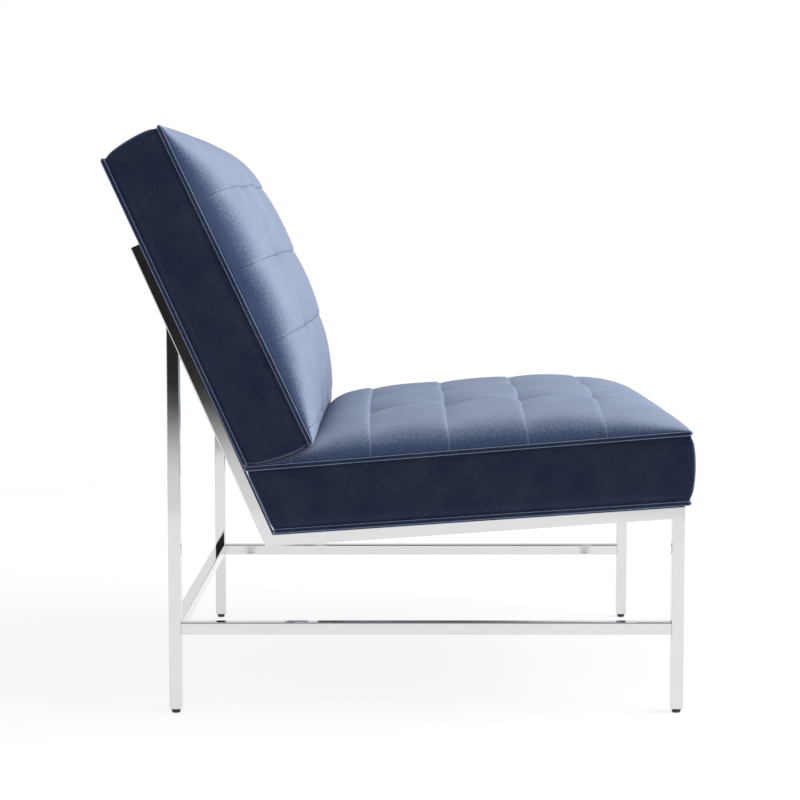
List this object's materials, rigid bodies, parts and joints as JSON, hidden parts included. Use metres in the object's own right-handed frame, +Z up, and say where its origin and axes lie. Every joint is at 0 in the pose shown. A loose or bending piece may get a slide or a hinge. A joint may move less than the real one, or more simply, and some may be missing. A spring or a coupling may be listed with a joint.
{
  "type": "upholstered chair",
  "caption": "Armless lounge chair: a welded bright square-tube frame carries two velvet box cushions, sewn into cells and piped, the back one reclined.",
  "frame": {"origin": "on the floor, under the middle of the whole chair's bounding box", "axes": "+Z up, the sitter faces -Y, +X is the sitter's left"},
  "size_m": [0.729, 0.8133, 0.8114],
  "materials": {
    "polished_tube": "bright polished steel, mirror finish",
    "velvet": "dark blue velvet with a pale sheen",
    "foam": "cut polyurethane foam block",
    "plywood": "birch plywood, bare",
    "black_plastic": "moulded black nylon",
    "dust_cloth": "black non-woven cloth",
    "fixing_steel": "zinc-plated steel"
  },
  "bodies": {
    "chair": {"left_rear_leg": "polished_tube", "left_front_leg": "polished_tube", "left_back_rail": "polished_tube", "left_seat_rail": "polished_tube", "left_side_stretcher": "polished_tube", "left_rail_end_cap": "polished_tube", "right_rear_leg": "polished_tube", "right_front_leg": "polished_tube", "right_back_rail": "polished_tube", "right_seat_rail": "polished_tube", "right_side_stretcher": "polished_tube", "right_rail_end_cap": "polished_tube", "rear_stretcher": "polished_tube", "front_cross_rail": "polished_tube", "corner_cross_rail": "polished_tube", "back_cross_rail": "polished_tube", "front_left_leg_plug": "black_plastic", "front_right_leg_plug": "black_plastic", "rear_left_leg_plug": "black_plastic", "rear_right_leg_plug": "black_plastic", "seat_board": "plywood", "seat_foam": "foam", "seat_cover": "velvet", "seat_tabs": "fixing_steel", "seat_screws": "fixing_steel", "back_board": "plywood", "back_foam": "foam", "back_cover": "velvet", "back_tabs": "fixing_steel", "back_screws": "fixing_steel", "seat_top_piping": "velvet", "seat_bottom_piping": "velvet", "back_front_piping": "velvet", "back_rear_piping": "velvet", "seat_dust_cover": "dust_cloth"},
    "front_left_foot": {"front_left_foot": "black_plastic"},
    "front_right_foot": {"front_right_foot": "black_plastic"},
    "rear_left_foot": {"rear_left_foot": "black_plastic"},
    "rear_right_foot": {"rear_right_foot": "black_plastic"}
  },
  "joints": [
    {"name": "front_left_foot_screw", "type": "slide", "parent": "chair", "child": "front_left_foot", "axis": [0, 0, -1], "range_m": [0, 0.006]},
    {"name": "front_right_foot_screw", "type": "slide", "parent": "chair", "child": "front_right_foot", "axis": [0, 0, -1], "range_m": [0, 0.006]},
    {"name": "rear_left_foot_screw", "type": "slide", "parent": "chair", "child": "rear_left_foot", "axis": [0, 0, -1], "range_m": [0, 0.006]},
    {"name": "rear_right_foot_screw", "type": "slide", "parent": "chair", "child": "rear_right_foot", "axis": [0, 0, -1], "range_m": [0, 0.006]}
  ]
}
